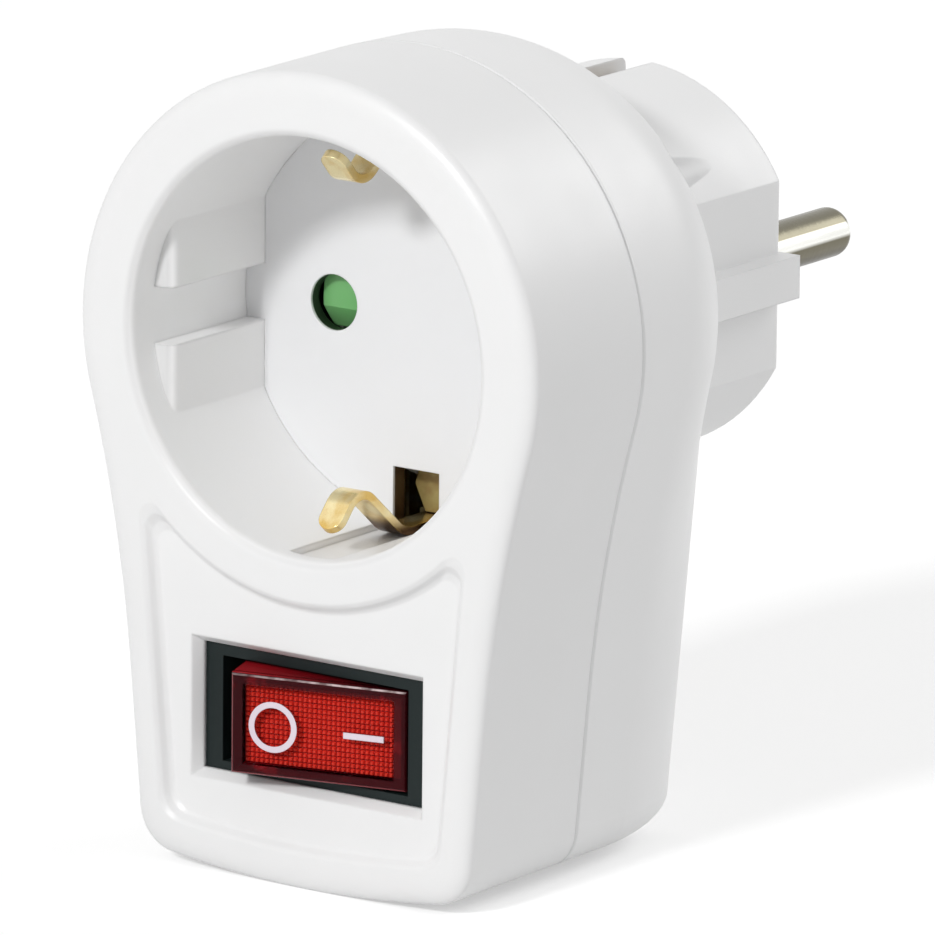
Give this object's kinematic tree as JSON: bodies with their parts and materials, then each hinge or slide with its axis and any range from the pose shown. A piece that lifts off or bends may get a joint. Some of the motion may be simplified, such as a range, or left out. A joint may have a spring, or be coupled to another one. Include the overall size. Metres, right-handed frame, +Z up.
{
  "type": "switched plug adapter",
  "caption": "Earthed plug-in socket adapter in a white two-part case, with a lit red two-pole rocker switch below the socket.",
  "frame": {"origin": "middle of the flat base, under the case's half depth", "axes": "+X right seen from the socket side, +Y from the socket towards the wall plug along its pins, +Z up from the base"},
  "size_m": [0.0514, 0.0738, 0.0764],
  "materials": {
    "case_front": "smooth white moulded plastic",
    "case_rear": "smooth white moulded plastic",
    "inner_plastic": "plain off-white moulded plastic",
    "switch_black": "fine satin black plastic",
    "lens_red": "clear tinted red plastic",
    "diffuser_red": "gridded light diffuser",
    "mark_white": "printed white ink",
    "shutter_plastic": "green moulded plastic",
    "plunger_plastic": "self-lubricating plastic",
    "contact_brass": "bright stamped brass strip",
    "contact_silver": "silver contact rivet",
    "pin_nickel": "nickel-plated turned brass",
    "screw_steel": "zinc-plated steel",
    "spring_steel": "drawn spring wire",
    "lamp_glass": "small glass lamp envelope",
    "resistor_enamel": "enamelled resistor body"
  },
  "bodies": {
    "case": {"front_housing": "case_front", "rear_housing": "case_rear", "housing_screws": "screw_steel", "socket_base": "case_front", "shutter_pivot": "screw_steel", "shutter_spring": "spring_steel", "contact_carrier": "inner_plastic", "carrier_screws": "screw_steel", "socket_earth_bow": "contact_brass", "plug_earth_bow": "contact_brass", "earth_rivet": "contact_brass", "pin_holder": "inner_plastic", "holder_screws": "screw_steel", "left_socket_contact": "contact_brass", "right_socket_contact": "contact_brass", "left_socket_strip": "contact_brass", "right_socket_strip": "contact_brass", "left_plug_pin": "pin_nickel", "right_plug_pin": "pin_nickel", "left_pin_strip": "contact_brass", "right_pin_strip": "contact_brass", "switch_frame": "switch_black", "switch_base": "switch_black", "upper_pivot_terminal": "contact_brass", "lower_pivot_terminal": "contact_brass", "upper_load_terminal": "contact_brass", "lower_load_terminal": "contact_brass", "fixed_contacts": "contact_silver"},
    "rocker": {"rocker_lens": "lens_red", "rocker_marks": "mark_white", "rocker_diffuser": "diffuser_red", "rocker_carrier": "switch_black", "neon_lamp": "lamp_glass", "lamp_resistor": "resistor_enamel", "upper_plunger_spring": "spring_steel", "lower_plunger_spring": "spring_steel"},
    "upper_plunger": {"upper_plunger": "plunger_plastic"},
    "lower_plunger": {"lower_plunger": "plunger_plastic"},
    "upper_lever": {"upper_contact_lever": "contact_brass", "upper_lever_contact": "contact_silver"},
    "lower_lever": {"lower_contact_lever": "contact_brass", "lower_lever_contact": "contact_silver"},
    "shutter": {"shutter_rotor": "shutter_plastic"}
  },
  "joints": [
    {"name": "rocker_hinge", "type": "hinge", "parent": "case", "child": "rocker", "pos_m": [0, -0.01005, 0.0151], "axis": [0, 0, 1], "range_deg": [-26, 0]},
    {"name": "upper_lever_hinge", "type": "hinge", "parent": "case", "child": "upper_lever", "pos_m": [0, -0.00225, 0.0177], "axis": [0, 0, 1], "range_deg": [0, 13]},
    {"name": "lower_lever_hinge", "type": "hinge", "parent": "case", "child": "lower_lever", "pos_m": [0, -0.00225, 0.0125], "axis": [0, 0, 1], "range_deg": [0, 13]},
    {"name": "upper_plunger_slide", "type": "slide", "parent": "rocker", "child": "upper_plunger", "axis": [0.225, -0.9744, 0], "range_m": [0, 0.0005], "stiffness_N_per_m": 500, "deforming": ["upper_plunger_spring"]},
    {"name": "lower_plunger_slide", "type": "slide", "parent": "rocker", "child": "lower_plunger", "axis": [0.225, -0.9744, 0], "range_m": [0, 0.0005], "stiffness_N_per_m": 500, "deforming": ["lower_plunger_spring"]},
    {"name": "shutter_hinge", "type": "hinge", "parent": "case", "child": "shutter", "pos_m": [0, 0.0029, 0.0507], "axis": [0, 1, 0], "range_deg": [0, 36], "stiffness_Nm_per_rad": 0.002, "deforming": ["shutter_spring"]}
  ],
  "couplings": [
    {"joint": "upper_lever_hinge", "follows": "rocker_hinge", "ratio": -0.5},
    {"joint": "lower_lever_hinge", "follows": "rocker_hinge", "ratio": -0.5}
  ]
}
